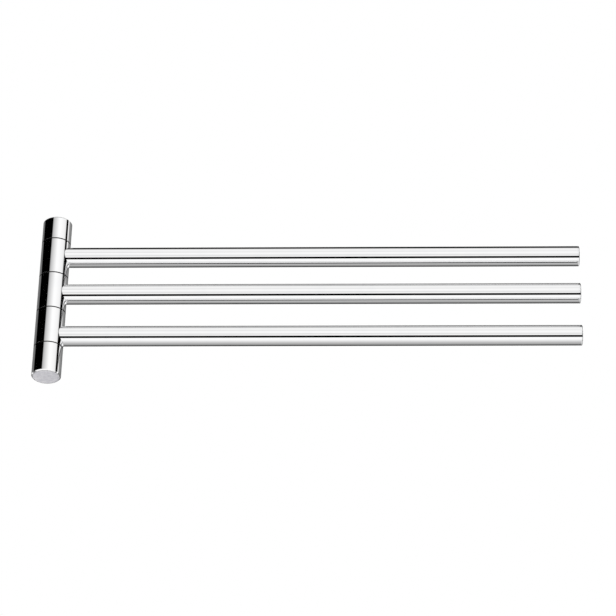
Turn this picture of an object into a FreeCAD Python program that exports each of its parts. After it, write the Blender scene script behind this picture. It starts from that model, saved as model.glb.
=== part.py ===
import FreeCAD, Part
import math
import os

# Swing arm towel bar: three round arms that swivel on one upright column, held off the wall by
# two short posts. Millimetres, +Z up, the wall is the plane Y = 0 with the room on its -Y side,
# and the origin is the middle of the two wall screws. At rest all the arms point along +X.

V = FreeCAD.Vector
X_AXIS, Y_AXIS, Z_AXIS = V(1, 0, 0), V(0, 1, 0), V(0, 0, 1)

# ---- driving dimensions: outside
COLUMN_DIAMETER = 24.0
RING_HEIGHT = 32.4
COLUMN_TO_WALL = 8.0         # gap behind the column, filled by the posts
ARM_DIAMETER = 16.6
ARM_REACH = 433.0            # middle of the column to the arm's tip
ARM_WALL = 1.2
UPPER_ARM_RISE = 4.2         # arm's middle above the middle of its ring
MIDDLE_ARM_RISE = 1.6
LOWER_ARM_RISE = -5.1
END_BEVEL = 0.8              # free ends of the column
JOINT_BEVEL = 0.2            # edges beside the joint lines

# ---- shaft, nuts and washers in the column
SHAFT_DIAMETER = 8.0
SHAFT_FLAT_DEPTH = 0.6
SHAFT_END_BEVEL = 0.5
NUT_ACROSS_FLATS = 13.0
NUT_HEIGHT = 4.0
THREAD_PAST_NUT = 0.3
JOINT_WASHER_THICKNESS = 0.6
JOINT_WASHER_INSET = 0.6     # washer's rim behind the column's skin
NUT_WASHER_THICKNESS = 1.0
NUT_WASHER_DIAMETER = 14.4
DISC_SPRING_SHEET = 0.6
DISC_SPRING_HEIGHT = 1.0
COVER_THICKNESS = 1.6
COVER_RIM = 1.2              # end piece's rim around the cover disc
UPPER_END_SPARE = 0.6        # free height past the nut
LOWER_END_SPARE = 6.0

# ---- bushes in the rings
BUSH_WALL = 1.95
BUSH_LENGTH = 9.0
FLANGE_THICKNESS = 0.8
FLANGE_WIDTH = 1.3

# ---- arm root and tip
SPIGOT_DIAMETER = 8.0
SPIGOT_GROOVE_DEPTH = 0.8
SPIGOT_GROOVE_WIDTH = 3.2
RING_INNER_WALL = 0.8        # metal between the spigot hole and the bush
PLUG_LENGTH = 22.0           # plug inside the tube, from the column's skin
SET_SCREW_DIAMETER = 3.0
SET_SCREW_LENGTH = 5.0
SET_SCREW_KEY = 1.5          # hexagon socket across flats
CAP_LIP = 1.5
CAP_SPIGOT = 10.0
CAP_WALL = 1.6
CAP_ROUND = 0.8
SEAM_BEVEL = 0.12            # edges beside the seam between tube and cap

# ---- wall posts and brackets
POST_OFFSET = 10.2           # joint face of the end piece to the post's middle
POST_DIAMETER = 16.0
POST_WALL = 2.1
POST_FLOOR = 3.0             # thickness between the column's skin and the post's hollow
POST_SCREW_DIAMETER = 4.0
POST_SCREW_HEAD = 7.6
POST_SCREW_HEAD_HEIGHT = 1.8
POST_SCREW_KEY = 2.5
METAL_OVER_SCREW = 1.3       # between the post screw and the nut's pocket
METAL_UNDER_SCREW = 1.2      # between the end of the screw's hole and the shaft
WALL_SCREW_HOLE = 4.5
WALL_SCREW_HEAD = 8.0
WALL_SCREW_HEAD_HEIGHT = 1.75
BRACKET_GROOVE = 0.6
GRUB_DIAMETER = 3.0
GRUB_KEY = 1.5

# ---- clearances
RUNNING_FIT = 0.05           # bush on shaft, radial
SLIP_FIT = 0.05              # pieces that slide together, radial
PRESS_FIT = 0.02             # pieces driven together, radial
SEAT = 0.05                  # saddles on the column's skin
BOTTOM_GAP = 0.3             # ends of screws and spigots in blind holes
NUT_POCKET_GAP = 0.5
BRACKET_GAP = 1.0            # bracket's face to the post's floor

# ---- places worked out from them
column_r = COLUMN_DIAMETER / 2
arm_r = ARM_DIAMETER / 2
tube_bore_r = arm_r - ARM_WALL
shaft_r = SHAFT_DIAMETER / 2
shaft_flat = shaft_r - SHAFT_FLAT_DEPTH
bush_bore_r = shaft_r + RUNNING_FIT
bush_r = bush_bore_r + BUSH_WALL
flange_r = bush_r + FLANGE_WIDTH
nut_pocket_r = NUT_ACROSS_FLATS / math.sqrt(3) + NUT_POCKET_GAP
axis_y = -(column_r + COLUMN_TO_WALL)

ring_pitch = RING_HEIGHT + JOINT_WASHER_THICKNESS
stack_half = 1.5 * RING_HEIGHT + 2 * JOINT_WASHER_THICKNESS      # to the end pieces' joint faces
post_z = stack_half + POST_OFFSET
end_floor = POST_OFFSET + POST_SCREW_DIAMETER / 2 + METAL_OVER_SCREW
upper_pocket = DISC_SPRING_HEIGHT + NUT_HEIGHT + UPPER_END_SPARE
lower_pocket = NUT_WASHER_THICKNESS + NUT_HEIGHT + LOWER_END_SPARE
upper_end_height = end_floor + upper_pocket + COVER_THICKNESS
lower_end_height = end_floor + lower_pocket + COVER_THICKNESS
spigot_r = SPIGOT_DIAMETER / 2
spigot_hole_floor = bush_r + RING_INNER_WALL
set_screw_x = (flange_r + column_r) / 2
post_floor_y = axis_y + column_r + POST_FLOOR
bracket_thickness = -post_floor_y - BRACKET_GAP
post_bore_r = POST_DIAMETER / 2 - POST_WALL
bracket_r = post_bore_r - SLIP_FIT
post_hole_floor = shaft_r + SLIP_FIT + METAL_UNDER_SCREW         # measured from the column's axis

RINGS = {                    # ring's middle height, arm's rise in it, end face its set screw is in
    "upper": (ring_pitch, UPPER_ARM_RISE, 1),
    "middle": (0.0, MIDDLE_ARM_RISE, 1),
    "lower": (-ring_pitch, LOWER_ARM_RISE, -1),
}


# ---- shapes
def turned(profile, base, axis):
    """A solid turned about an axis: profile points are (radius, distance along the axis)."""
    points = [V(r, 0, t) for r, t in profile]
    face = Part.Face(Part.makePolygon(points + points[:1]))
    solid = face.revolve(V(0, 0, 0), Z_AXIS, 360)
    solid.Placement = FreeCAD.Placement(base, FreeCAD.Rotation(Z_AXIS, axis))
    return solid


def bar(radius, start, end, base, axis):
    return turned([(0, start), (radius, start), (radius, end), (0, end)], base, axis)


def hexagon(across_flats, start, end, base, axis):
    corner = across_flats / math.sqrt(3)
    points = [V(corner * math.cos(math.radians(60 * i)), corner * math.sin(math.radians(60 * i)), start)
              for i in range(6)]
    solid = Part.Face(Part.makePolygon(points + points[:1])).extrude(Z_AXIS * (end - start))
    solid.Placement = FreeCAD.Placement(base, FreeCAD.Rotation(Z_AXIS, axis))
    return solid


def on_column(z=0.0):
    return V(0, axis_y, z)


def column_skin(gap=0.0):
    """The column's outside as a plain bar, for saddles that sit on it."""
    length = stack_half + upper_end_height + lower_end_height
    return bar(column_r + gap, -length, length, on_column(), Z_AXIS)


def d_bar(radius, flat, start, end):
    """A round bar on the column's axis with one flat, facing the room."""
    round_bar = bar(radius, start, end, on_column(), Z_AXIS)
    off = Part.makeBox(2 * radius, radius, end - start, V(-radius, axis_y - flat - radius, start))
    return round_bar.cut(off)


def shaft_hole(start, end):
    return d_bar(shaft_r + SLIP_FIT, shaft_flat + SLIP_FIT, start, end)


def save(node, shape):
    shape = shape.removeSplitter()
    solids = shape.Solids
    if len(solids) != 1 or not shape.isValid():
        raise ValueError(f"{node} is {len(solids)} solids, valid: {shape.isValid()}")
    solids[0].exportStep(f"parts/{node}.step")


# ---- column
def end_piece(up, height, pocket):
    """Turned end of the column, bored for the shaft, with a nut pocket and a seat for its cover."""
    seat = height - COVER_THICKNESS
    profile = [
        (0, 0), (column_r - JOINT_BEVEL, 0), (column_r, JOINT_BEVEL),
        (column_r, height - END_BEVEL), (column_r - END_BEVEL, height),
        (column_r - COVER_RIM, height), (column_r - COVER_RIM, seat),
        (nut_pocket_r, seat), (nut_pocket_r, seat - pocket), (0, seat - pocket),
    ]
    solid = turned(profile, on_column(up * stack_half), Z_AXIS * up)
    solid = solid.cut(shaft_hole(*sorted((up * (stack_half - 1), up * (stack_half + height)))))
    hole = bar(POST_SCREW_DIAMETER / 2 + PRESS_FIT, post_hole_floor, column_r + 1,
               on_column(up * post_z), Y_AXIS)
    return solid.cut(hole)


def cover_disc(up, height):
    outer = column_r - COVER_RIM - SLIP_FIT
    disc = bar(outer, height - COVER_THICKNESS, height, on_column(up * stack_half), Z_AXIS * up)
    return disc


def shaft_nut(up, floor):
    """Thin hexagon nut, its corners turned off on the outer face."""
    corner = NUT_ACROSS_FLATS / math.sqrt(3)
    turned_off = (corner - NUT_ACROSS_FLATS / 2) * 0.5
    blank = turned(
        [(0, 0), (corner, 0), (corner, NUT_HEIGHT - turned_off),
         (NUT_ACROSS_FLATS / 2, NUT_HEIGHT), (0, NUT_HEIGHT)],
        on_column(up * floor), Z_AXIS * up)
    nut = blank.common(hexagon(NUT_ACROSS_FLATS, 0, NUT_HEIGHT, on_column(up * floor), Z_AXIS * up))
    return nut.cut(bar(shaft_r + SLIP_FIT, -1, NUT_HEIGHT + 1, on_column(up * floor), Z_AXIS * up))


def disc_spring(floor):
    """Coned washer under the upper nut."""
    inner = shaft_r + SLIP_FIT
    outer = NUT_WASHER_DIAMETER / 2
    cone = DISC_SPRING_HEIGHT - DISC_SPRING_SHEET
    profile = [(outer, 0), (outer, DISC_SPRING_SHEET), (inner, DISC_SPRING_SHEET + cone), (inner, cone)]
    return turned(profile, on_column(floor), Z_AXIS)


def washer(outer, thickness, start):
    disc = bar(outer, start, start + thickness, on_column(), Z_AXIS)
    return disc.cut(shaft_hole(start - 1, start + thickness + 1))


def central_shaft(lower_end, upper_end):
    blank = turned(
        [(0, lower_end), (shaft_r - SHAFT_END_BEVEL, lower_end), (shaft_r, lower_end + SHAFT_END_BEVEL),
         (shaft_r, upper_end - SHAFT_END_BEVEL), (shaft_r - SHAFT_END_BEVEL, upper_end), (0, upper_end)],
        on_column(), Z_AXIS)
    return blank.common(d_bar(shaft_r + 1, shaft_flat, lower_end - 1, upper_end + 1))


def make_column():
    upper_floor = stack_half + end_floor
    lower_floor = stack_half + end_floor
    upper_nut = upper_floor + DISC_SPRING_HEIGHT
    lower_nut = lower_floor + NUT_WASHER_THICKNESS
    save("upper_end_piece", end_piece(1, upper_end_height, upper_pocket))
    save("lower_end_piece", end_piece(-1, lower_end_height, lower_pocket))
    save("upper_cover_disc", cover_disc(1, upper_end_height))
    save("lower_cover_disc", cover_disc(-1, lower_end_height))
    save("upper_shaft_nut", shaft_nut(1, upper_nut))
    save("lower_shaft_nut", shaft_nut(-1, lower_nut))
    save("disc_spring", disc_spring(upper_floor))
    save("nut_washer", washer(NUT_WASHER_DIAMETER / 2, NUT_WASHER_THICKNESS, -lower_nut))
    save("central_shaft", central_shaft(-lower_nut - NUT_HEIGHT - THREAD_PAST_NUT,
                                        upper_nut + NUT_HEIGHT + THREAD_PAST_NUT))
    names = ["lower_joint_washer", "lower_middle_joint_washer",
             "upper_middle_joint_washer", "upper_joint_washer"]
    for i, name in enumerate(names):
        start = -stack_half + i * ring_pitch
        save(name, washer(column_r - JOINT_WASHER_INSET, JOINT_WASHER_THICKNESS, start))


# ---- wall posts and brackets
def wall_post(z):
    """Short hollow post, saddled on the column at one end and flat on the wall at the other."""
    place = V(0, 0, z)
    post = bar(POST_DIAMETER / 2, axis_y, 0, place, Y_AXIS)
    post = post.cut(column_skin(SEAT))
    post = post.cut(bar(post_bore_r, post_floor_y, 1, place, Y_AXIS))
    post = post.cut(post_screw_space(z))
    grub = bar(GRUB_DIAMETER / 2 + PRESS_FIT, post_bore_r - 1, POST_DIAMETER, grub_place(z), -Z_AXIS)
    return post.cut(grub)


def screw_body(head_r, head_height, body_r, tip, place):
    """Countersunk screw along +Y with its head's face at the post's floor."""
    return turned(
        [(0, tip), (body_r, tip), (body_r, post_floor_y - head_height),
         (head_r, post_floor_y), (0, post_floor_y)], place, Y_AXIS)


def post_screw_tip():
    return axis_y + post_hole_floor + BOTTOM_GAP


def post_screw_space(z):
    return screw_body(POST_SCREW_HEAD / 2 + SLIP_FIT, POST_SCREW_HEAD_HEIGHT,
                      POST_SCREW_DIAMETER / 2 + SLIP_FIT, axis_y, V(0, 0, z))


def post_screw(z):
    screw = screw_body(POST_SCREW_HEAD / 2, POST_SCREW_HEAD_HEIGHT,
                       POST_SCREW_DIAMETER / 2, post_screw_tip(), V(0, 0, z))
    key = hexagon(POST_SCREW_KEY, post_floor_y - POST_SCREW_HEAD_HEIGHT, 1, V(0, 0, z), Y_AXIS)
    return screw.cut(key)


def wall_bracket(z):
    """Round bracket on the wall: one countersunk hole, and a groove round its rim for the grub screw."""
    hole_r = WALL_SCREW_HOLE / 2
    head_r = WALL_SCREW_HEAD / 2
    front = -bracket_thickness
    middle = front / 2
    groove = BRACKET_GROOVE
    profile = [
        (hole_r, 0), (bracket_r, 0), (bracket_r, middle + groove), (bracket_r - groove, middle),
        (bracket_r, middle - groove), (bracket_r, front), (head_r, front),
        (hole_r, front + WALL_SCREW_HEAD_HEIGHT),
    ]
    return turned(profile, V(0, 0, z), Y_AXIS)


def grub_place(z):
    return V(0, -bracket_thickness / 2, z)


def grub_screw(z):
    """Cone point screw from below, its point in the bracket's groove."""
    r = GRUB_DIAMETER / 2
    point = bracket_r - BRACKET_GROOVE + SLIP_FIT
    cone = BRACKET_GROOVE
    end = POST_DIAMETER / 2 - BOTTOM_GAP
    screw = turned([(0, point), (cone, point + cone), (r, point + cone + SLIP_FIT), (r, end), (0, end)],
                   grub_place(z), -Z_AXIS)
    key = hexagon(GRUB_KEY, end - (end - point) / 2, end + 1, grub_place(z), -Z_AXIS)
    return screw.cut(key)


def make_wall_fixing():
    for name, z in (("upper", post_z), ("lower", -post_z)):
        save(f"{name}_wall_post", wall_post(z))
        save(f"{name}_post_screw", post_screw(z))
        save(f"{name}_wall_bracket", wall_bracket(z))
        save(f"{name}_grub_screw", grub_screw(z))


# ---- rings and arms
def swivel_ring(middle, arm_z, side):
    """Turned ring, bored for its two bushes, with a spigot hole and a set screw hole for its arm."""
    bore = bush_r + PRESS_FIT
    counterbore = flange_r + PRESS_FIT
    half = RING_HEIGHT / 2
    edge = half - JOINT_BEVEL
    shoulder = half - FLANGE_THICKNESS
    profile = [
        (counterbore, -half), (column_r - JOINT_BEVEL, -half), (column_r, -edge),
        (column_r, edge), (column_r - JOINT_BEVEL, half), (counterbore, half),
        (counterbore, shoulder), (bore, shoulder), (bore, -shoulder), (counterbore, -shoulder),
    ]
    ring = turned(profile, on_column(middle), Z_AXIS)
    ring = ring.cut(bar(spigot_r + SLIP_FIT, spigot_hole_floor, column_r + 1, on_column(arm_z), X_AXIS))
    hole = bar(SET_SCREW_DIAMETER / 2 + PRESS_FIT, 0, RING_HEIGHT,
               V(set_screw_x, axis_y, arm_z), Z_AXIS * side)
    return ring.cut(hole)


def bush(face, into):
    """Flanged plastic bush pressed into a ring from one end face."""
    return turned(
        [(bush_bore_r, 0), (flange_r, 0), (flange_r, FLANGE_THICKNESS), (bush_r, FLANGE_THICKNESS),
         (bush_r, BUSH_LENGTH), (bush_bore_r, BUSH_LENGTH)],
        on_column(face), Z_AXIS * into)


def arm_plug(arm_z):
    """Saddled plug in the tube's root, with a grooved spigot that enters the ring."""
    end = column_r + PLUG_LENGTH
    plug = bar(tube_bore_r - PRESS_FIT, 0, end, on_column(arm_z), X_AXIS).cut(column_skin(SEAT))
    groove = SPIGOT_GROOVE_WIDTH / 2
    waist = spigot_r - SPIGOT_GROOVE_DEPTH
    spigot = turned(
        [(0, spigot_hole_floor + BOTTOM_GAP), (spigot_r, spigot_hole_floor + BOTTOM_GAP),
         (spigot_r, set_screw_x - groove), (waist, set_screw_x - groove),
         (waist, set_screw_x + groove), (spigot_r, set_screw_x + groove),
         (spigot_r, column_r + PLUG_LENGTH / 2), (0, column_r + PLUG_LENGTH / 2)],
        on_column(arm_z), X_AXIS)
    return plug.fuse(spigot)


def arm_tube(arm_z):
    """Drawn tube, saddled on its ring at the root."""
    end = ARM_REACH - CAP_LIP
    tube = turned(
        [(tube_bore_r, 0), (arm_r, 0), (arm_r, end - SEAM_BEVEL), (arm_r - SEAM_BEVEL, end),
         (tube_bore_r, end)],
        on_column(arm_z), X_AXIS)
    return tube.cut(column_skin(SEAT))


def arm_cap(arm_z):
    """Turned cap in the tube's tip, its lip flush with the tube and its outer edge rounded."""
    lip = ARM_REACH - CAP_LIP
    spigot = tube_bore_r - PRESS_FIT
    cap = turned(
        [(0, lip), (spigot - CAP_WALL, lip), (spigot - CAP_WALL, lip - CAP_SPIGOT),
         (spigot, lip - CAP_SPIGOT), (spigot, lip), (arm_r - SEAM_BEVEL, lip),
         (arm_r, lip + SEAM_BEVEL), (arm_r, ARM_REACH), (0, ARM_REACH)],
        on_column(arm_z), X_AXIS)
    rim = [edge for edge in cap.Edges if edge.BoundBox.XMin > ARM_REACH - PRESS_FIT]
    return cap.makeFillet(CAP_ROUND, rim)


def set_screw(arm_z, side):
    """Screw in the ring's wall that bears on the waist of the arm's spigot."""
    start = spigot_r - SPIGOT_GROOVE_DEPTH + SLIP_FIT
    end = start + SET_SCREW_LENGTH
    place = V(set_screw_x, axis_y, arm_z)
    screw = bar(SET_SCREW_DIAMETER / 2, start, end, place, Z_AXIS * side)
    return screw.cut(hexagon(SET_SCREW_KEY, start + SET_SCREW_LENGTH / 2, end + 1, place, Z_AXIS * side))


def make_arm(name, middle, rise, side):
    arm_z = middle + rise
    half = RING_HEIGHT / 2
    save(f"{name}_ring", swivel_ring(middle, arm_z, side))
    save(f"{name}_ring_top_bush", bush(middle + half, -1))
    save(f"{name}_ring_bottom_bush", bush(middle - half, 1))
    save(f"{name}_arm_plug", arm_plug(arm_z))
    save(f"{name}_arm_tube", arm_tube(arm_z))
    save(f"{name}_arm_cap", arm_cap(arm_z))
    save(f"{name}_arm_set_screw", set_screw(arm_z, side))


os.makedirs("parts", exist_ok=True)
make_column()
make_wall_fixing()
for ring_name, (ring_middle, arm_rise, screw_side) in RINGS.items():
    make_arm(ring_name, ring_middle, arm_rise, screw_side)
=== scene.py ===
import math

import bpy
from mathutils import Matrix, Vector


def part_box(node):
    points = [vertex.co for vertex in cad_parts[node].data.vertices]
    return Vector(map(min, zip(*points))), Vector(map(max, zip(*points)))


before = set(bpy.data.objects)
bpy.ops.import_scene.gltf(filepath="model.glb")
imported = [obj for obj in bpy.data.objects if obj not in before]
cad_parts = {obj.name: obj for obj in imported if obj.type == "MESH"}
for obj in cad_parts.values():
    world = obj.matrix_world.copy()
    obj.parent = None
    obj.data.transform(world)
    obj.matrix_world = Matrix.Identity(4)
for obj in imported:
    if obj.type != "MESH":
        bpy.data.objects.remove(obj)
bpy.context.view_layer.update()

# ---- Camera
# The bar hangs above eye level: the camera stands in front of it, low and a little to the right,
# and looks up with a long lens.
CAMERA_PLACE = Vector((0.29022, -1.85479, -1.10641))
CAMERA_YAW = math.radians(-2.486)          # to the left of straight at the wall
CAMERA_PITCH = math.radians(30.797)        # upwards
CAMERA_ROLL = math.radians(1.127)
FOCAL_PIXELS = 2617.2
PICTURE_PIXELS = 616
SENSOR = 36.0


def aim(yaw, pitch, roll):
    level = math.cos(pitch)
    forward = Vector((math.sin(yaw) * level, math.cos(yaw) * level, math.sin(pitch)))
    right = Vector((math.cos(yaw), -math.sin(yaw), 0))
    up = right.cross(forward)
    turned_right = right * math.cos(roll) + up * math.sin(roll)
    turned_up = up * math.cos(roll) - right * math.sin(roll)
    return Matrix((turned_right, turned_up, -forward)).transposed()


camera = bpy.data.objects.new("camera", bpy.data.cameras.new("camera"))
bpy.context.scene.collection.objects.link(camera)
turned = aim(CAMERA_YAW, CAMERA_PITCH, CAMERA_ROLL).to_4x4()
camera.matrix_world = Matrix.Translation(CAMERA_PLACE) @ turned
camera.data.sensor_width = SENSOR
camera.data.lens = FOCAL_PIXELS * SENSOR / PICTURE_PIXELS
camera.data.clip_start = 0.05
camera.data.clip_end = 60
bpy.context.scene.camera = camera
bpy.context.scene.view_settings.view_transform = "Standard"

# ---- Studio
# A softly lit white tent, with pale walls behind it and a pale floor far below. Polished metal only
# shows what it mirrors, so the chrome's bands are the tent's dark gap at lens height, and the black
# flags and grey cards that hang at the left and the right.


def grey(level):
    """The light value of a grey written as 0 to 255."""
    share = level / 255
    return share / 12.92 if share <= 0.04045 else ((share + 0.055) / 1.055) ** 2.4


class Nodes:
    """A node tree with short calls: each returns the output socket of a new node."""

    def __init__(self, tree):
        self.tree = tree

    def add(self, kind, **settings):
        node = self.tree.nodes.new(kind)
        for name, value in settings.items():
            setattr(node, name, value)
        return node

    def feed(self, socket, value):
        if isinstance(value, bpy.types.NodeSocket):
            self.tree.links.new(value, socket)
        else:
            socket.default_value = value

    def math(self, operation, a, b=0.0, c=0.0):
        node = self.add("ShaderNodeMath", operation=operation)
        for socket, value in zip(node.inputs, (a, b, c)):
            self.feed(socket, value)
        return node.outputs[0]

    def step(self, value, start, end):
        """0 before start, 1 after end and a smooth rise between them."""
        node = self.add("ShaderNodeMapRange", interpolation_type="SMOOTHSTEP")
        self.feed(node.inputs["Value"], value)
        node.inputs["From Min"].default_value = start
        node.inputs["From Max"].default_value = end
        return node.outputs["Result"]

    def band(self, value, start, end, blur):
        rise = self.step(value, start - blur / 2, start + blur / 2)
        fall = self.step(value, end - blur / 2, end + blur / 2)
        return self.math("SUBTRACT", rise, fall)

    def mix(self, share, a, b):
        """a where share is 0, b where it is 1."""
        node = self.add("ShaderNodeMix", data_type="FLOAT")
        self.feed(node.inputs[0], share)
        self.feed(node.inputs[2], a)
        self.feed(node.inputs[3], b)
        return node.outputs[0]

    def ramp(self, value, start, end, stops):
        """A curve through (place, level or colour) stops, straight between them."""
        where = self.add("ShaderNodeMapRange")
        self.feed(where.inputs["Value"], value)
        where.inputs["From Min"].default_value = start
        where.inputs["From Max"].default_value = end
        node = self.add("ShaderNodeValToRGB")
        self.feed(node.inputs[0], where.outputs["Result"])
        elements = node.color_ramp.elements
        while len(elements) < len(stops):
            elements.new(0.5)
        for element, (place, level) in zip(elements, stops):
            colour = level if isinstance(level, tuple) else (level, level, level)
            element.position = (place - start) / (end - start)
            element.color = (*colour, 1)
        return node.outputs["Color"]


CHROME_SHARE = 0.95          # what polished chrome gives back of the light
# Greys of the tent round the bar's own length, by the angle above the front horizon: from behind,
# underneath, up the front and over the top. The dark gap is where the camera stands.
TENT = [(-180, 5), (-167, 85), (-143, 155), (-110, 197), (-84, 238), (-72, 253), (-49, 253), (-47.8, 0),
        (-26.2, 0), (-25, 254), (-17, 246), (-9, 219), (2, 244), (20, 251), (40, 236), (52, 246),
        (75, 236), (84, 95), (93, 8), (180, 5)]
# Greys of the soft boxes, by the angle to the right, and the heights at which they stand, which are
# the ones that the upright column mirrors.
SOFT_BOXES = [(-180, 118), (-106, 112), (-30, 166), (-17, 200), (4, 233), (20, 254), (34, 254),
              (66, 243), (81, 222), (101, 228), (104, 240), (112, 240), (118, 145), (137, 140),
              (148, 120), (180, 118)]
BOX_HEIGHTS = (28.4, 33.4, 1)
# Greys of the walls behind, by the height above the horizon, and how they darken towards the sides,
# by the angle from the front. Between them the tent shows as a narrow strip.
WALLS = [(-90, 225), (-62, 245), (-40, 272), (-20, 272), (-12, 250), (-6, 118), (7, 118), (15, 195),
         (30, 205), (60, 165), (90, 120)]
WALL_FALL = [(90, 0.1), (112, 0.15), (119, 0.8), (150, 1.0), (180, 1.0)]
STRIP_EDGE = (0.145, 0.165)  # how far to the side, for each unit of distance
WALL_START = (0.0, 0.12)     # how far to the back, for each unit of distance
# Light of the card past the tips, by the height above the horizon and by the distance from its middle.
END_CARD_UPRIGHT = [(-30, 0.08), (-9, 0.3), (-3, 0.62), (2, 0.68), (10, 0.95), (30, 1.0)]
END_CARD_ACROSS = [(0.0, 1.0), (0.06, 1.0), (0.16, 0.25), (0.4, 0.1)]
END_CARD_EDGE = (0.93, 0.95)
# Flags, cards and a lamp, each by its heights above the horizon and its angles to the right. The
# third number of both is how far the edges are blurred.
LEFT_FLAG = ((-12, 42, 8), (-109, -29, 3))
SLIM_FLAG = ((-40, 40, 4), (81, 101, 3))
LOW_FLAG = ((-30, 28, 1), (48, 99, 4))
BLACK_CARD = ((6, 60, 4), (97, 165, 6))
GREY_CARD = ((-33, 28, 4), (99, 150, 4))
CURTAIN = ((-25, -6, 4), (24, 60, 10))
EDGE_LAMP = ((-37.5, -31.5, 2), (84, 118, 3))
GREY_CARD_LEVEL = 120
CURTAIN_LEVEL = 125
FLAG_STEP = 7.0              # how much wider the left flag is above its step
FLAG_STEP_HEIGHTS = (31.0, 32.2)
SOFT_LIGHT = 0.8             # light of the tent on what isn't a mirror


def mirrored_level(stops):
    return [(place, grey(level) / CHROME_SHARE) for place, level in stops]


def hung(nodes, height, side, place):
    """1 where a flag or card hangs and 0 beside it."""
    upright, across = place
    return nodes.math("MULTIPLY", nodes.band(height, *upright), nodes.band(side, *across))


def stepped_flag(nodes, height, side):
    """The left flag, whose far edge steps out near the top."""
    upright, (far, near, blur) = LEFT_FLAG
    wider = nodes.math("MULTIPLY", nodes.step(height, *FLAG_STEP_HEIGHTS), FLAG_STEP)
    far_edge = nodes.step(nodes.math("ADD", side, wider), far - blur / 2, far + blur / 2)
    near_edge = nodes.step(side, near - blur / 2, near + blur / 2)
    across = nodes.math("SUBTRACT", far_edge, near_edge)
    return nodes.math("MULTIPLY", across, nodes.band(height, *upright))


def studio_light(nodes):
    """The light that a mirror shows in each direction."""
    split = nodes.add("ShaderNodeSeparateXYZ")
    nodes.feed(split.inputs[0], nodes.add("ShaderNodeTexCoord").outputs["Generated"])
    x, y, z = split.outputs
    front = nodes.math("MULTIPLY", y, -1.0)
    height = nodes.math("DEGREES", nodes.math("ARCSINE", z))
    side = nodes.math("DEGREES", nodes.math("ARCTAN2", x, front))
    round_bar = nodes.math("DEGREES", nodes.math("ARCTAN2", z, front))

    light = nodes.ramp(round_bar, -180, 180, mirrored_level(TENT))
    walls = nodes.math("MULTIPLY", nodes.ramp(height, -90, 90, mirrored_level(WALLS)),
                       nodes.ramp(nodes.math("ABSOLUTE", side), 0, 180, WALL_FALL))
    beside_strip = nodes.math("MULTIPLY", nodes.step(nodes.math("ABSOLUTE", x), *STRIP_EDGE),
                              nodes.step(y, *WALL_START))
    light = nodes.mix(beside_strip, light, walls)
    # far right, for the column's skin between the arms and for the rounded tips
    light = nodes.mix(hung(nodes, height, side, GREY_CARD), light, grey(GREY_CARD_LEVEL))
    light = nodes.mix(hung(nodes, height, side, BLACK_CARD), light, 0.0)
    # low at the front right, for the column's edge seen from behind
    light = nodes.mix(hung(nodes, height, side, CURTAIN), light, grey(CURTAIN_LEVEL))
    boxes = nodes.ramp(side, -180, 180, mirrored_level(SOFT_BOXES))
    light = nodes.mix(nodes.band(height, *BOX_HEIGHTS), light, boxes)
    light = nodes.mix(stepped_flag(nodes, height, side), light, 0.0)
    right_flags = nodes.math("MAXIMUM", hung(nodes, height, side, SLIM_FLAG),
                             hung(nodes, height, side, LOW_FLAG))
    light = nodes.mix(right_flags, light, 0.0)
    # past the tips, for their flat ends
    end_card = nodes.math("MULTIPLY", nodes.ramp(height, -30, 30, END_CARD_UPRIGHT),
                          nodes.ramp(nodes.math("ABSOLUTE", y), 0, 0.4, END_CARD_ACROSS))
    light = nodes.mix(nodes.step(x, *END_CARD_EDGE), light, end_card)
    return nodes.mix(hung(nodes, height, side, EDGE_LAMP), light, 1.0 / CHROME_SHARE)


def make_world():
    world = bpy.data.worlds.new("studio")
    bpy.context.scene.world = world
    world.use_nodes = True
    world.node_tree.nodes.clear()
    nodes = Nodes(world.node_tree)
    ray = nodes.add("ShaderNodeLightPath").outputs
    mirrored = nodes.math("MAXIMUM", ray["Is Glossy Ray"], ray["Is Transmission Ray"])
    soft = nodes.mix(ray["Is Camera Ray"], SOFT_LIGHT, 1.0)
    strength = nodes.mix(mirrored, soft, studio_light(nodes))
    background = nodes.add("ShaderNodeBackground")
    background.inputs["Color"].default_value = (1, 1, 1, 1)
    nodes.feed(background.inputs["Strength"], strength)
    output = nodes.add("ShaderNodeOutputWorld")
    nodes.feed(output.inputs["Surface"], background.outputs[0])


make_world()

FLOOR_DROP = 2.3             # floor below the bar
FLOOR_RADIUS = 30.0
FLOOR_CORNERS = 96
FLOOR_GREY = (0.9, 0.9, 0.9, 1)
FLOOR_GLOW = 0.6             # how much of the floor's look is plain white


def make_floor():
    """A round pale floor. The metal mirrors the tent instead of it."""
    mesh = bpy.data.meshes.new("floor")
    rim = [(FLOOR_RADIUS * math.cos(turn), FLOOR_RADIUS * math.sin(turn), -FLOOR_DROP)
           for turn in (math.tau * corner / FLOOR_CORNERS for corner in range(FLOOR_CORNERS))]
    mesh.from_pydata(rim, [], [list(range(FLOOR_CORNERS))])
    floor = bpy.data.objects.new("floor", mesh)
    bpy.context.scene.collection.objects.link(floor)
    material = bpy.data.materials.new("pale_floor")
    material.use_nodes = True
    material.node_tree.nodes.clear()
    nodes = Nodes(material.node_tree)
    matt = nodes.add("ShaderNodeBsdfDiffuse")
    matt.inputs["Color"].default_value = FLOOR_GREY
    glow = nodes.add("ShaderNodeEmission")
    glow.inputs["Strength"].default_value = 1.0
    blend = nodes.add("ShaderNodeMixShader")
    camera_ray = nodes.add("ShaderNodeLightPath").outputs["Is Camera Ray"]
    nodes.feed(blend.inputs[0], nodes.math("MULTIPLY", camera_ray, FLOOR_GLOW))
    nodes.feed(blend.inputs[1], matt.outputs[0])
    nodes.feed(blend.inputs[2], glow.outputs[0])
    nodes.feed(nodes.add("ShaderNodeOutputMaterial").inputs["Surface"], blend.outputs[0])
    mesh.materials.append(material)
    floor.visible_glossy = False


make_floor()

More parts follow.
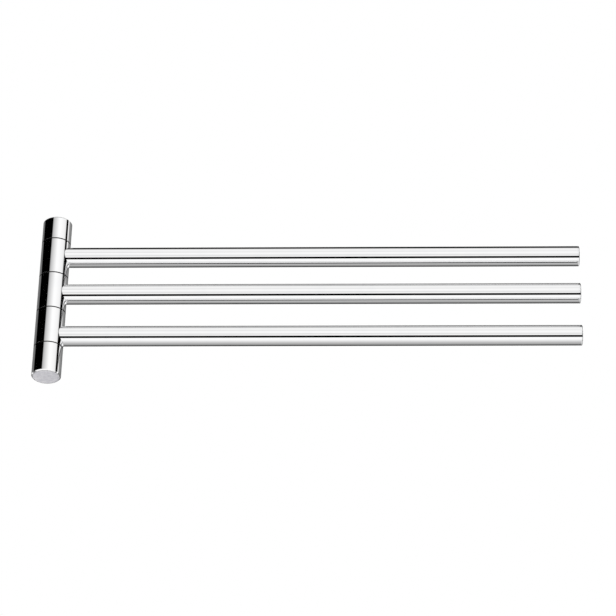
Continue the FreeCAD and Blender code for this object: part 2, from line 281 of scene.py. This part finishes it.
# ---- Wall brackets
# Two short round studs of turned brass, left bare because the posts hide them. A countersunk
# screw through the middle of each holds it on the wall.
BRASS = (0.66, 0.46, 0.19)
BRASS_TARNISHED = (0.45, 0.29, 0.11)
BRASS_TURNING_PITCH = 0.00025
BRASS_TURNING_DEPTH = 0.000012
ENDS = ("upper", "lower")


def surface(name, metallic):
    """A new material, its nodes and the inputs of its shader."""
    material = bpy.data.materials.new(name)
    material.use_nodes = True
    nodes = Nodes(material.node_tree)
    shader = material.node_tree.nodes["Principled BSDF"]
    shader.inputs["Metallic"].default_value = metallic
    return material, nodes, shader.inputs


def patches(nodes, scale, detail):
    """Cloudy unevenness over the piece, scale in clouds for each metre."""
    texture = nodes.add("ShaderNodeTexNoise")
    nodes.feed(texture.inputs["Vector"], nodes.add("ShaderNodeTexCoord").outputs["Object"])
    texture.inputs["Scale"].default_value = scale
    texture.inputs["Detail"].default_value = detail
    return texture.outputs["Fac"]


def tool_path(nodes, axis, centre):
    """How far a lathe tool has come at a point: along the piece's axis plus out from it, in metres."""
    away = nodes.add("ShaderNodeVectorMath", operation="SUBTRACT")
    nodes.feed(away.inputs[0], nodes.add("ShaderNodeTexCoord").outputs["Object"])
    away.inputs[1].default_value = centre
    split = nodes.add("ShaderNodeSeparateXYZ")
    nodes.feed(split.inputs[0], away.outputs[0])
    across = list(split.outputs)
    along = across.pop("XYZ".index(axis))
    squares = [nodes.math("MULTIPLY", value, value) for value in across]
    return nodes.math("ADD", along, nodes.math("SQRT", nodes.math("ADD", *squares)))


def tool_marks(nodes, path, pitch):
    """Fine uneven rings, about pitch metres apart."""
    texture = nodes.add("ShaderNodeTexNoise", noise_dimensions="1D")
    nodes.feed(texture.inputs["W"], path)
    texture.inputs["Scale"].default_value = 1 / pitch
    texture.inputs["Detail"].default_value = 3
    return texture.outputs["Fac"]


def relief(nodes, height, depth):
    """The slopes of a pattern that stands depth metres proud where it is 1."""
    bump = nodes.add("ShaderNodeBump")
    nodes.feed(bump.inputs["Height"], height)
    bump.inputs["Distance"].default_value = depth
    return bump.outputs[0]


def turned_brass(name, axis, centre):
    material, nodes, inputs = surface(name, 1.0)
    rings = tool_marks(nodes, tool_path(nodes, axis, centre), BRASS_TURNING_PITCH)
    stains = patches(nodes, 220, 5)
    nodes.feed(inputs["Base Color"], nodes.ramp(stains, 0, 1, [(0.38, BRASS), (0.72, BRASS_TARNISHED)]))
    uneven = nodes.math("MULTIPLY_ADD", stains, 0.5, nodes.math("MULTIPLY", rings, 0.5))
    nodes.feed(inputs["Roughness"], nodes.ramp(uneven, 0, 1, [(0.3, 0.22), (0.7, 0.42)]))
    nodes.feed(inputs["Normal"], relief(nodes, rings, BRASS_TURNING_DEPTH))
    return material


def dress(name, material):
    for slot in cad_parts[name].material_slots:
        slot.material = material


def middle_of(name):
    low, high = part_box(name)
    return [(a + b) / 2 for a, b in zip(low, high)]


for end in ENDS:
    bracket = f"{end}_wall_bracket"
    dress(bracket, turned_brass(f"{end}_bracket_brass", "Y", middle_of(bracket)))

# ---- Central shaft
# Stainless bar that carries the whole column, with one flat milled along it that keeps the end
# pieces and washers from turning, and a thread at both ends.
STAINLESS = (0.60, 0.60, 0.59)
STAINLESS_DARK = (0.48, 0.48, 0.48)
SHAFT_TURNING_PITCH = 0.0002
THREAD_PITCH = 0.00125
THREADED_LENGTH = 0.0075
THREAD_DEPTH = 0.0004


def height_in_part(nodes):
    """How high a point stands above the part's origin, in metres."""
    split = nodes.add("ShaderNodeSeparateXYZ")
    nodes.feed(split.inputs[0], nodes.add("ShaderNodeTexCoord").outputs["Object"])
    return split.outputs[2]


def threaded_stainless(centre, bottom, top):
    """Bright turned bar, with the thread as relief on both ends."""
    material, nodes, inputs = surface("shaft_stainless", 1.0)
    rings = tool_marks(nodes, tool_path(nodes, "Z", centre), SHAFT_TURNING_PITCH)
    clouds = patches(nodes, 150, 4)
    nodes.feed(inputs["Base Color"], nodes.ramp(clouds, 0, 1, [(0.35, STAINLESS), (0.75, STAINLESS_DARK)]))
    nodes.feed(inputs["Roughness"], nodes.ramp(rings, 0, 1, [(0.3, 0.2), (0.7, 0.36)]))
    z = height_in_part(nodes)
    wave = nodes.math("PINGPONG", nodes.math("MULTIPLY", z, 2 / THREAD_PITCH), 1.0)
    threaded = nodes.math("ADD", nodes.math("LESS_THAN", z, bottom + THREADED_LENGTH),
                          nodes.math("GREATER_THAN", z, top - THREADED_LENGTH))
    height = nodes.math("MULTIPLY_ADD", wave, threaded, nodes.math("MULTIPLY", rings, 0.03))
    nodes.feed(inputs["Normal"], relief(nodes, height, THREAD_DEPTH))
    return material


shaft_low, shaft_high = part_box("central_shaft")
column_axis = middle_of("upper_joint_washer")
dress("central_shaft", threaded_stainless(column_axis, shaft_low[2], shaft_high[2]))

# ---- Nuts and washers of the shaft
# Thin zinc plated steel nuts, a plain washer under the lower one, and a phosphated spring steel
# disc under the upper one that presses the stack together and gives the arms their friction.
ZINC = (0.62, 0.64, 0.67)
ZINC_DULL = (0.45, 0.47, 0.50)
SPRING_STEEL = (0.12, 0.12, 0.125)
SPRING_STEEL_WORN = (0.26, 0.26, 0.26)
CRYSTALS = 900               # of the coating, for each metre
CRYSTAL_DEPTH = 0.000015


def coated_steel(name, colour, worn_colour, smooth, rough):
    material, nodes, inputs = surface(name, 1.0)
    crystals = patches(nodes, CRYSTALS, 2)
    clouds = patches(nodes, 160, 5)
    nodes.feed(inputs["Base Color"], nodes.ramp(clouds, 0, 1, [(0.4, colour), (0.7, worn_colour)]))
    nodes.feed(inputs["Roughness"], nodes.ramp(crystals, 0, 1, [(0.3, smooth), (0.7, rough)]))
    nodes.feed(inputs["Normal"], relief(nodes, crystals, CRYSTAL_DEPTH))
    return material


zinc_plate = coated_steel("zinc_plate", ZINC, ZINC_DULL, 0.24, 0.42)
for name in ("upper_shaft_nut", "lower_shaft_nut", "nut_washer"):
    dress(name, zinc_plate)
dress("disc_spring", coated_steel("spring_steel", SPRING_STEEL, SPRING_STEEL_WORN, 0.34, 0.5))

# ---- Joint washers
# Four black acetal washers between the stacked pieces. Their rims stand just behind the column's
# skin and draw the thin dark joint lines.
BLACK_ACETAL = (0.010, 0.010, 0.011)
BLACK_ACETAL_RUBBED = (0.022, 0.022, 0.023)
ACETAL_IOR = 1.48
ACETAL_GRAINS = 2600         # for each metre
ACETAL_GRAIN_DEPTH = 0.000008


def moulded(name, colour, rubbed_colour, smooth, rough):
    material, nodes, inputs = surface(name, 0.0)
    grain = patches(nodes, ACETAL_GRAINS, 3)
    clouds = patches(nodes, 140, 4)
    nodes.feed(inputs["Base Color"], nodes.ramp(clouds, 0, 1, [(0.4, colour), (0.75, rubbed_colour)]))
    nodes.feed(inputs["Roughness"], nodes.ramp(grain, 0, 1, [(0.3, smooth), (0.7, rough)]))
    nodes.feed(inputs["Normal"], relief(nodes, grain, ACETAL_GRAIN_DEPTH))
    inputs["IOR"].default_value = ACETAL_IOR
    return material


black_acetal = moulded("black_acetal", BLACK_ACETAL, BLACK_ACETAL_RUBBED, 0.42, 0.58)
for joint in ("upper", "upper_middle", "lower_middle", "lower"):
    dress(f"{joint}_joint_washer", black_acetal)

# ---- Ring bushes
# Six flanged bushes of natural white acetal, pressed into the rings from both faces. They run on
# the shaft and are never greased.
NATURAL_ACETAL = (0.80, 0.79, 0.74)
NATURAL_ACETAL_RUBBED = (0.72, 0.70, 0.63)
ARMS = ("upper", "middle", "lower")

natural_acetal = moulded("natural_acetal", NATURAL_ACETAL, NATURAL_ACETAL_RUBBED, 0.36, 0.5)
for arm in ARMS:
    dress(f"{arm}_ring_top_bush", natural_acetal)
    dress(f"{arm}_ring_bottom_bush", natural_acetal)

# ---- Swivel rings
# Three equal rings turned from brass, polished round and chrome plated. Each is bored for its
# bushes and cross drilled for its arm. Only the faintest marks of the buffing wheel are left.
CHROME = (0.950, 0.950, 0.953)
CHROME_IN_SHADE = (0.925, 0.928, 0.936)
BUFFING_PITCH = 0.0006
BUFFING_DEPTH = 0.000004
GROOVE_HALF = 0.0005         # half a joint washer and the bevel beside it
GROOVE_EDGE = 0.00003
GROOVE_PAINTED_SHADE = 0.02          # painted shade: the share of the chrome's colour kept in the grooves of the joint lines
GROOVE_ROUGHNESS = 0.3


def polished_chrome(name, axis, centre, polished_and_unshaded=None):
    """Buffed chrome. The optional mask is 1 on the open skin and 0 in the grooves, which get a dull finish
    and painted shade: their colour is darkened to stand in for the shade that falls in them.
    """
    material, nodes, inputs = surface(name, 1.0)
    buffing = tool_marks(nodes, tool_path(nodes, axis, centre), BUFFING_PITCH)
    haze = patches(nodes, 90, 4)
    colour = nodes.ramp(haze, 0, 1, [(0.45, CHROME), (0.8, CHROME_IN_SHADE)])
    uneven = nodes.math("MULTIPLY_ADD", haze, 0.6, nodes.math("MULTIPLY", buffing, 0.4))
    roughness = nodes.ramp(uneven, 0, 1, [(0.35, 0.012), (0.7, 0.036)])
    if polished_and_unshaded:
        polished_and_unshaded_share = polished_and_unshaded(nodes)
        # Painted shade: in the grooves the chrome's colour is scaled down nearly to black, standing in for
        # the shade in the joint lines. The higher roughness there is their real dull finish.
        painted_groove_shade = nodes.add("ShaderNodeVectorMath", operation="SCALE")
        nodes.feed(painted_groove_shade.inputs[0], colour)
        nodes.feed(painted_groove_shade.inputs["Scale"], nodes.mix(polished_and_unshaded_share, GROOVE_PAINTED_SHADE, 1.0))
        colour = painted_groove_shade.outputs[0]
        roughness = nodes.mix(polished_and_unshaded_share, GROOVE_ROUGHNESS, roughness)
    nodes.feed(inputs["Base Color"], colour)
    nodes.feed(inputs["Roughness"], roughness)
    waves = nodes.math("MULTIPLY_ADD", buffing, 0.01, patches(nodes, 70, 1))
    nodes.feed(inputs["Normal"], relief(nodes, waves, BUFFING_DEPTH))
    return material


lowest_joint = middle_of("lower_joint_washer")[2]
joint_spacing = (middle_of("upper_joint_washer")[2] - lowest_joint) / len(ARMS)


def away_from_joints(nodes):
    """1 on the open skin of the column and 0 in the grooves of its joint lines."""
    above_lowest = nodes.math("SUBTRACT", height_in_part(nodes), lowest_joint)
    distance = nodes.math("PINGPONG", above_lowest, joint_spacing / 2)
    return nodes.step(distance, GROOVE_HALF - GROOVE_EDGE, GROOVE_HALF + GROOVE_EDGE)


# The column's chrome gets painted shade in the grooves of its joint lines.
column_chrome = polished_chrome("column_chrome", "Z", column_axis, away_from_joints)
for arm in ARMS:
    dress(f"{arm}_ring", column_chrome)

# ---- Arm plugs and set screws
# A turned brass plug closes the root of each tube, and its grooved spigot enters the ring. A black
# oxide set screw in the ring's end face bears on the groove, out of sight under the washer.
BLACK_OXIDE = (0.055, 0.055, 0.060)
BLACK_OXIDE_WORN = (0.16, 0.155, 0.15)

black_oxide = coated_steel("black_oxide", BLACK_OXIDE, BLACK_OXIDE_WORN, 0.3, 0.46)
for arm in ARMS:
    plug = f"{arm}_arm_plug"
    dress(plug, turned_brass(f"{arm}_plug_brass", "X", middle_of(plug)))
    dress(f"{arm}_arm_set_screw", black_oxide)

# ---- Arm tubes and caps
# Drawn brass tube, cut to a saddle where it meets its ring, with a turned cap pressed into the
# tip. The cap's edge is rounded. Tube and cap are polished together and chrome plated.
for arm in ARMS:
    tube = f"{arm}_arm_tube"
    arm_chrome = polished_chrome(f"{arm}_arm_chrome", "X", middle_of(tube))
    dress(tube, arm_chrome)
    dress(f"{arm}_arm_cap", arm_chrome)

# ---- End pieces
# Two turned brass ends close the stack, polished and plated as the rings are. They hold the
# shaft's nuts in deep pockets and carry the wall posts.
for end in ENDS:
    dress(f"{end}_end_piece", column_chrome)

# ---- Cover discs
# Flat discs pressed into the end pieces over the nuts. They are plated too, but their faces are
# finely turned and blasted before plating, so they shine softly where the column is a mirror.
SATIN = (0.98, 0.97, 1.0)
SATIN_DULL = (0.72, 0.715, 0.77)
FACING_PITCH = 0.0004
FACING_DEPTH = 0.000006


def satin_chrome():
    material, nodes, inputs = surface("satin_chrome", 1.0)
    rings = tool_marks(nodes, tool_path(nodes, "Z", column_axis), FACING_PITCH)
    haze = patches(nodes, 300, 5)
    uneven = nodes.math("MULTIPLY_ADD", haze, 0.5, nodes.math("MULTIPLY", rings, 0.5))
    nodes.feed(inputs["Base Color"], nodes.ramp(uneven, 0, 1, [(0.4, SATIN), (0.62, SATIN_DULL)]))
    nodes.feed(inputs["Roughness"], nodes.ramp(uneven, 0, 1, [(0.35, 0.34), (0.65, 0.46)]))
    nodes.feed(inputs["Normal"], relief(nodes, rings, FACING_DEPTH))
    return material


satin = satin_chrome()
for end in ENDS:
    dress(f"{end}_cover_disc", satin)

# ---- Wall posts and their screws
# Short hollow chrome posts, each screwed to an end piece from inside and pushed over its bracket.
# A small grub screw from below locks it there.
for end in ENDS:
    post = f"{end}_wall_post"
    dress(post, polished_chrome(f"{end}_post_chrome", "Y", middle_of(post)))
    dress(f"{end}_post_screw", zinc_plate)
    dress(f"{end}_grub_screw", black_oxide)
